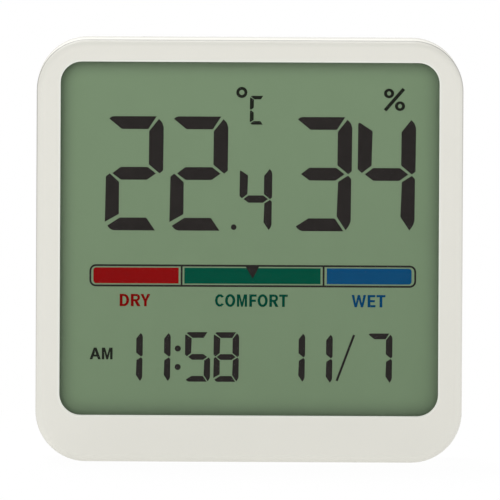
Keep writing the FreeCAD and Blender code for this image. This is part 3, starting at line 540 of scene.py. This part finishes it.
line = 0.37
scale_left, scale_right, scale_low, scale_high, scale_round = -31.48, 32.9, 34.47, 38.84, 1.25
dry_end, comfort_end = -13.5, 14.47
printed("scale_outline", [
    rounded_block(scale_left, scale_right, scale_low, scale_high, scale_round, scale_round),
    rounded_block(scale_left + line, dry_end, scale_low + line, scale_high - line,
                  scale_round - line, 0),
    rounded_block(dry_end + line, comfort_end, scale_low + line, scale_high - line, 0, 0),
    rounded_block(comfort_end + line, scale_right - line, scale_low + line, scale_high - line, 0,
                  scale_round - line)], segment_ink)
printed("scale_pointer", [[(-0.9, scale_high), (0.67, 36.08), (2.13, scale_high)]],
        segment_ink, ink_front - 0.01*MM)
zone_low, zone_high, word_low, word_high = 35.1, 38.22, 30.58, 33.01
for zone, colour_name, colour, left, right, ends, text, word_left, word_right in (
        ("dry", "red_ink", (0.245, 0.0044, 0.0048),
         -30.7, -13.9, (0.55, 0), "DRY", -25.5, -19.45),
        ("comfort", "green_ink", (0.0014, 0.073, 0.0445),
         -12.78, 14.06, (0, 0), "COMFORT", -6.74, 7.62),
        ("wet", "blue_ink", (0.0055, 0.067, 0.177),
         15.28, 31.99, (0, 0.55), "WET", 20.2, 26.86)):
    zone_ink = ink(colour_name, colour, 0.06)
    printed(zone + "_zone", [rounded_block(left, right, zone_low, zone_high, *ends)], zone_ink)
    word_ink = ink(zone + "_word_ink", [0.75*part for part in colour], 0.06)
    word(zone + "_word", text, word_left, word_right, word_low, word_high, word_ink)
word("morning_word", "AM", -31.37, -26.85, 20.08, 22.38, sign_ink)


# The tray behind the display, of grey ABS, and the silicone strip that joins the glass to the
# board. The strip's middle is a row of fine black conducting layers.
dress(moulded_plastic("tray_plastic", (0.5, 0.5, 0.5), 0.5*MM, 0.012*MM), "lcd_holder")

strip_low, strip_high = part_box("zebra_strip")
strip = new_finish("strip_rubber")
layer = abs((strip.along("X")/(0.18*MM)).math("FRACT") - 0.5) < 0.26
core = abs(strip.along("Z") - (strip_low.z + strip_high.z)/2) < 0.3*MM
strip_shade = strip.mix(strip.noise(1.5*MM), tone(0.72, 0.55, 0.55), tone(0.8, 0.64, 0.63))
dress(strip.surface(base_color=strip.mix(layer*core, strip_shade, tone(0.015, 0.015, 0.015)),
                    roughness=0.6), "zebra_strip")


# The circuit board: green solder mask on glass laminate, with copper tracks that show through it,
# a tinned ring round each screw, and a woven texture in its cut edge.
board_screw_x, board_screw_zs = 35.5, (14, 64)
ring_radius = 2.2*MM
board = new_finish("board_laminate")
board_x, board_z = board.along("X"), board.along("Z")


def tracks(place, other, pitch):
    """Thin parallel tracks, where the noise along them lets them run."""
    row = abs((place/pitch).math("FRACT") - 0.5)
    along_row = (place/pitch).math("FLOOR")*7.3 + other*90
    runs = board.node("ShaderNodeTexNoise", {"noise_dimensions": "1D"},
                      {"W": along_row, "Scale": 1.0, "Detail": 0.0}, "Fac")
    return (row < 0.16)*(runs > 0.52)


copper = tracks(board_x, board_z, 1.9*MM).most(tracks(board_z, board_x, 2.3*MM))
weave = board.noise(0.6*MM, 2, (1, 1, 0.3))
mask_shade = board.mix(0.7*weave, tone(0.012, 0.13, 0.045), tone(0.02, 0.17, 0.065))
mask_shade = board.mix(0.7*copper, mask_shade, tone(0.06, 0.32, 0.10))
to_low_row, to_high_row = (abs(board_z - z*MM) for z in board_screw_zs)
to_screw = ((abs(board_x) - board_screw_x*MM)**2 + to_low_row.least(to_high_row)**2)**0.5
ring = to_screw < ring_radius
board_shade = board.mix(ring, mask_shade, tone(0.62, 0.61, 0.57))
dress(board.surface(base_color=board_shade, roughness=0.28 + 0.1*weave, metallic=ring*0.9,
                    normal=board.bump(copper + ring, 0.02*MM, 0.5)), "main_board")


# What is soldered to the board: a black epoxy dome over the chip, a clock crystal in a metal can,
# the climate sensor in its ported package, and six ceramic chips with tinned ends.
epoxy = new_finish("epoxy")
ripple = epoxy.noise(2.5*MM, 2)
epoxy_shade = epoxy.mix(ripple, tone(0.006, 0.006, 0.006), tone(0.014, 0.013, 0.012))
dress(epoxy.surface(base_color=epoxy_shade, roughness=0.16 + 0.12*ripple,
                    normal=epoxy.bump(ripple, 0.08*MM, 0.5)), "chip_blob")


def plated(name, colour, roughness, grain=(0.02, 1, 1), grain_size=0.08*MM):
    """Plated metal with fine drawing marks along one direction."""
    metal = new_finish(name)
    marks = metal.noise(grain_size, 3, grain)
    stains = metal.noise(2.5*MM, 3)
    shade = metal.mix(0.5*marks + 0.5*stains, tone(*colour, 0.86), tone(*colour, 1.1))
    return metal.surface(base_color=shade, metallic=1.0, roughness=roughness + 0.12*marks,
                         normal=metal.bump(marks, 0.004*MM, 0.4))


dress(plated("crystal_can", (0.58, 0.57, 0.53), 0.24), "clock_crystal")

package = new_finish("sensor_package")
resin = package.noise(0.12*MM, 3)
package_shade = package.mix(resin, tone(0.018, 0.018, 0.019), tone(0.04, 0.04, 0.042))
dress(package.surface(base_color=package_shade, roughness=0.55 + 0.15*resin,
                      normal=package.bump(resin, 0.01*MM, 0.6)), "climate_sensor")

chips_low, chips_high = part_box("board_parts")
bare_half = 0.52*MM
ceramic = new_finish("chip_ceramic")
tinned = abs(ceramic.along("X") - (chips_low.x + chips_high.x)/2) > bare_half
clay = ceramic.noise(0.3*MM, 3)
chip_shade = ceramic.mix(clay, tone(0.05, 0.035, 0.024), tone(0.09, 0.065, 0.045))
dress(ceramic.surface(base_color=ceramic.mix(tinned, chip_shade, tone(0.6, 0.59, 0.57)),
                      metallic=tinned*0.9, roughness=0.42 + 0.1*clay), "board_parts")


# The three switches: a black nylon base under a thin steel cover with a rivet in each corner, and
# a round nylon plunger.
button_xs = {"mode": 13, "up": 22, "down": 31}
button_z = 74
button_pitch = 9*MM
rivet_place, rivet_radius, cover_thick = 2.3*MM, 0.42*MM, 0.25*MM
switch_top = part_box("mode_switch")[1].y
tactile = new_finish("switch_plastic")
past_edge = (tactile.along("X") - (button_xs["mode"]*MM - button_pitch/2))/button_pitch
from_middle_x = past_edge.math("FRACT")*button_pitch - button_pitch/2
from_middle_z = tactile.along("Z") - button_z*MM
to_rivet = ((abs(from_middle_x) - rivet_place)**2 + (abs(from_middle_z) - rivet_place)**2)**0.5
rivet = to_rivet < rivet_radius
cover = (tactile.along("Y") > switch_top - cover_thick)*(1 - rivet)
grit = tactile.noise(0.2*MM, 3)
nylon_shade = tactile.mix(grit, tone(0.014, 0.014, 0.014), tone(0.03, 0.03, 0.03))
dress(tactile.surface(base_color=tactile.mix(cover, nylon_shade, tone(0.58, 0.57, 0.55)),
                      metallic=cover, roughness=0.3 + 0.2*grit,
                      normal=tactile.bump(grit + rivet, 0.01*MM, 0.5)),
      "mode_switch", "up_switch", "down_switch")
dress(moulded_plastic("plunger_nylon", (0.025, 0.025, 0.025), 0.2*MM, 0.008*MM),
      "mode_plunger", "up_plunger", "down_plunger")


# The battery contacts: nickel-plated spring steel, stamped flat at one end of each cell and wound
# as a cone at the other.
dress(plated("stamped_nickel", (0.62, 0.60, 0.55), 0.26, (1, 1, 0.03)),
      "positive_contact", "negative_contact", "bridge_contact")
dress(plated("spring_wire", (0.60, 0.58, 0.53), 0.22, (1, 0.1, 0.1), 0.05*MM),
      "negative_spring", "bridge_spring")


# The two cells: a drawn steel can in a silver foil jacket, whose ends are rolled over. The positive
# end has a raised nub, and a dark band marks it.
def turned(name, profile, start, along, material, corners=48):
    """A piece turned round a line. Its profile, distances along the line and radii in millimetres,
    is drawn by extruding one point, and then spun."""
    start, along = Vector(start)*MM, Vector(along)
    outwards = along.orthogonal().normalized()
    spots = [start + (along*distance + outwards*radius)*MM for distance, radius in profile]
    bpy.ops.object.select_all(action="DESELECT")
    bpy.ops.mesh.primitive_plane_add(size=0.1*MM, location=spots[0])
    piece = bpy.context.object
    piece.name = name
    bpy.ops.object.transform_apply()
    bpy.ops.object.mode_set(mode="EDIT")
    bpy.ops.mesh.select_all(action="SELECT")
    bpy.ops.mesh.merge(type="CENTER")
    for here, there in zip(spots, spots[1:]):
        bpy.ops.mesh.extrude_region_move(TRANSFORM_OT_translate={"value": there - here})
    bpy.ops.mesh.select_all(action="SELECT")
    bpy.ops.mesh.spin(steps=corners, angle=2*math.pi, center=start, axis=along)
    bpy.ops.mesh.select_all(action="SELECT")
    bpy.ops.mesh.remove_doubles(threshold=0.002*MM)
    bpy.ops.mesh.normals_make_consistent(inside=False)
    bpy.ops.object.mode_set(mode="OBJECT")
    bpy.ops.object.shade_smooth_by_angle(angle=math.radians(32))
    piece.data.materials.clear()
    piece.data.materials.append(material)
    return piece


def stands_for(piece, node, body):
    """The piece takes a CAD node's place on its body."""
    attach(piece, body)
    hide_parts(node)


rim_radius, band_length, thread_place, thread_half = 4.62*MM, 15*MM, 16*MM, 0.25*MM


def foil_jacket(name, middle, tip):
    """Silver foil with a dark band towards the tip, and bare steel inside its rolled ends."""
    jacket = new_finish(name)
    off_line = ((jacket.along("Y") - middle.y)**2 + (jacket.along("Z") - middle.z)**2)**0.5
    to_tip = abs(jacket.along("X") - tip)
    bare = off_line < rim_radius
    band = (to_tip < band_length)*(1 - bare)
    thread = (abs(to_tip - thread_place) < thread_half)*(1 - bare)
    wear = jacket.noise(3*MM, 4)
    foil = jacket.mix(wear, tone(0.33, 0.34, 0.36), tone(0.45, 0.46, 0.48))
    shade = jacket.mix(band.most(thread), foil, tone(0.045, 0.05, 0.06))
    shade = jacket.mix(bare, shade, tone(0.62, 0.61, 0.59))
    return jacket.surface(base_color=shade, metallic=0.85 - 0.5*band, roughness=0.24 + 0.14*wear,
                          coat_weight=0.3*(1 - bare))


cell_profile = [
    (0.2, 0), (0.2, 0.8), (0, 1.2), (0, 3.9), (0.12, 4.05), (0.35, 4.2), (0.35, 4.6), (0.1, 4.72),
    (0, 4.9), (0.06, 5.1), (0.25, 5.25), (42.9, 5.25), (43.15, 5.17), (43.3, 4.97), (43.3, 4.8),
    (43.1, 4.66), (42.9, 4.5), (42.9, 4.1), (43.1, 3.9), (43.1, 2.4), (43.25, 2.05), (43.5, 1.9),
    (44.3, 1.9), (44.44, 1.82), (44.5, 1.65), (44.5, 0)]
for level, way in (("upper", 1), ("lower", -1)):
    node = "battery_cell_" + level
    low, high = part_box(node)
    middle = (low + high)/2
    base, tip = (low.x, high.x) if way > 0 else (high.x, low.x)
    cell = turned(level + "_cell", cell_profile, (base/MM, middle.y/MM, middle.z/MM), (way, 0, 0),
                  foil_jacket(level + "_jacket", middle, tip), 64)
    stands_for(cell, node, "case")


# The screws, of zinc-plated steel: pan heads with a cross recess, and ribbed shanks that cut their
# own thread in the plastic.
screw_steel = plated("screw_steel", (0.46, 0.46, 0.47), 0.3, (1, 0.2, 1))
thread_pitch = 0.55


def pan_screw(name, node, places, seat, reach, shank, head, height):
    """The screws of one node, modelled once and copied. places are x, z, and seat is y."""
    thread = [(0, 0), (0, 0.35*shank), (0.5, 0.8*shank)]
    for rib in range(int((reach - 1.1)/thread_pitch)):
        start = 0.6 + thread_pitch*rib
        thread += [(start, 0.8*shank), (start + 0.22, shank), (start + 0.3, shank)]
    cap = [(reach - 0.15, 0.85*shank), (reach, shank), (reach, head - 0.12),
           (reach + 0.12*height, head), (reach + 0.45*height, 0.97*head),
           (reach + 0.75*height, 0.86*head), (reach + 0.92*height, 0.66*head),
           (reach + height, 0.4*head), (reach + height, 0)]
    x, z = places[0]
    first = turned(f"{name}_1", thread + cap, (x, seat - reach, z), (0, 1, 0), screw_steel, 28)
    arms = []
    for wide, deep in ((1.15*head, 0.3*head), (0.3*head, 1.15*head)):
        bpy.ops.object.select_all(action="DESELECT")
        bpy.ops.mesh.primitive_cube_add(size=MM, location=(x*MM, (seat + height)*MM, z*MM),
                                        scale=(wide, 1.3*height, deep))
        arms.append(bpy.context.object)
        bpy.ops.object.transform_apply()
    for arm in arms:
        recess = first.modifiers.new("recess", "BOOLEAN")
        recess.operation = "DIFFERENCE"
        recess.solver = "EXACT"
        recess.object = arm
        select_only(first)
        bpy.ops.object.modifier_apply(modifier="recess")
        bpy.data.objects.remove(arm)
    pieces_made = [first]
    for number, (other_x, other_z) in enumerate(places[1:], 2):
        copied = first.copy()
        copied.data = first.data.copy()
        copied.name = f"{name}_{number}"
        bpy.context.collection.objects.link(copied)
        for vertex in copied.data.vertices:
            vertex.co += Vector((other_x - x, 0, other_z - z))*MM
        pieces_made.append(copied)
    for piece in pieces_made:
        stands_for(piece, node, "case")


pan_screw("case_screw", "case_screws", [(30, 4.1), (-30, 4.1)], 3, 10, 1, 1.7, 1.3)
pan_screw("tray_screw", "holder_screws", [(18, 4.1), (-18, 4.1)], -5.7, 3.5, 0.8, 1.5, 1)
pan_screw("board_screw", "board_screws",
          [(x, z) for x in (board_screw_x, -board_screw_x) for z in board_screw_zs],
          -3.1, 3.2, 0.8, 1.5, 1)


# The back shell and what is moulded like it, the battery door and the folding stand: ABS in a
# slightly coarser grain, coloured a shade greyer than the front as painted shade, which darkens
# the case's outline along the top. Raised marks on the bay's floor show which way round the
# cells go.
# Painted shade: the back shell's colour is darker than the front's plastic.
rear_shaded_colour = (0.62, 0.61, 0.565)
rear_shaded_plastic = moulded_plastic("rear_shaded_plastic", rear_shaded_colour, 0.4*MM, 0.012*MM)
dress(rear_shaded_plastic, "rear_cover", "battery_door", "kickstand")

floor_of_bay = -1.6*MM
mark_half, mark_line = 1.5, 0.3


def plus(x, z):
    long, thin = mark_half, mark_line
    return [(x - thin, z - long), (x + thin, z - long), (x + thin, z - thin), (x + long, z - thin),
            (x + long, z + thin), (x + thin, z + thin), (x + thin, z + long), (x - thin, z + long),
            (x - thin, z + thin), (x - long, z + thin), (x - long, z - thin), (x - thin, z - thin)]


def minus(x, z):
    return [(x - mark_half, z - mark_line), (x + mark_half, z - mark_line),
            (x + mark_half, z + mark_line), (x - mark_half, z + mark_line)]


upper_z, lower_z = 58.75, 47.85
printed("polarity_marks", [plus(17, upper_z), minus(-15, upper_z), plus(-17, lower_z),
                           minus(15, lower_z)],
        rear_shaded_plastic, floor_of_bay - 0.02*MM, 0.14*MM)


# The three push buttons, of ABS a shade darker than the back shell: a round cap with a dished top
# and an eased edge, a flange that stops it in its hole, and a stem. Small printed signs tell them
# apart.
button_colour = (0.55, 0.54, 0.50)
button_plastic = moulded_plastic("button_plastic", button_colour, 0.25*MM, 0.005*MM)
cap_profile = [
    (0, 0), (0, 1.25), (0.15, 1.4), (6.25, 1.4), (6.25, 3.7), (6.35, 3.8), (6.95, 3.8), (7.05, 3.7),
    (7.05, 3), (8.22, 3), (8.36, 2.97), (8.47, 2.9), (8.55, 2.8), (8.59, 2.68), (8.6, 2.55),
    (8.58, 2.35), (8.51, 2), (8.43, 1.5), (8.37, 0.9), (8.35, 0)]
sign_depth, sign_front = 0.05*MM, 8.33*MM
for role, x in button_xs.items():
    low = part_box(role + "_button")[0]
    cap = turned(role + "_cap", cap_profile, (x, low.y/MM, button_z), (0, 1, 0), button_plastic, 56)
    stands_for(cap, role + "_button", role + "_key")
    sign = {
        "mode": [oval(x, button_z, 0.85, 0.85), oval(x, button_z, 0.5, 0.5)],
        "up": [[(x - 0.9, button_z - 0.6), (x + 0.9, button_z - 0.6), (x, button_z + 0.9)]],
        "down": [[(x - 0.9, button_z + 0.6), (x, button_z - 0.9), (x + 0.9, button_z + 0.6)]],
    }[role]
    printed(role + "_sign", sign, segment_ink, low.y + sign_front, sign_depth,
            role + "_key")
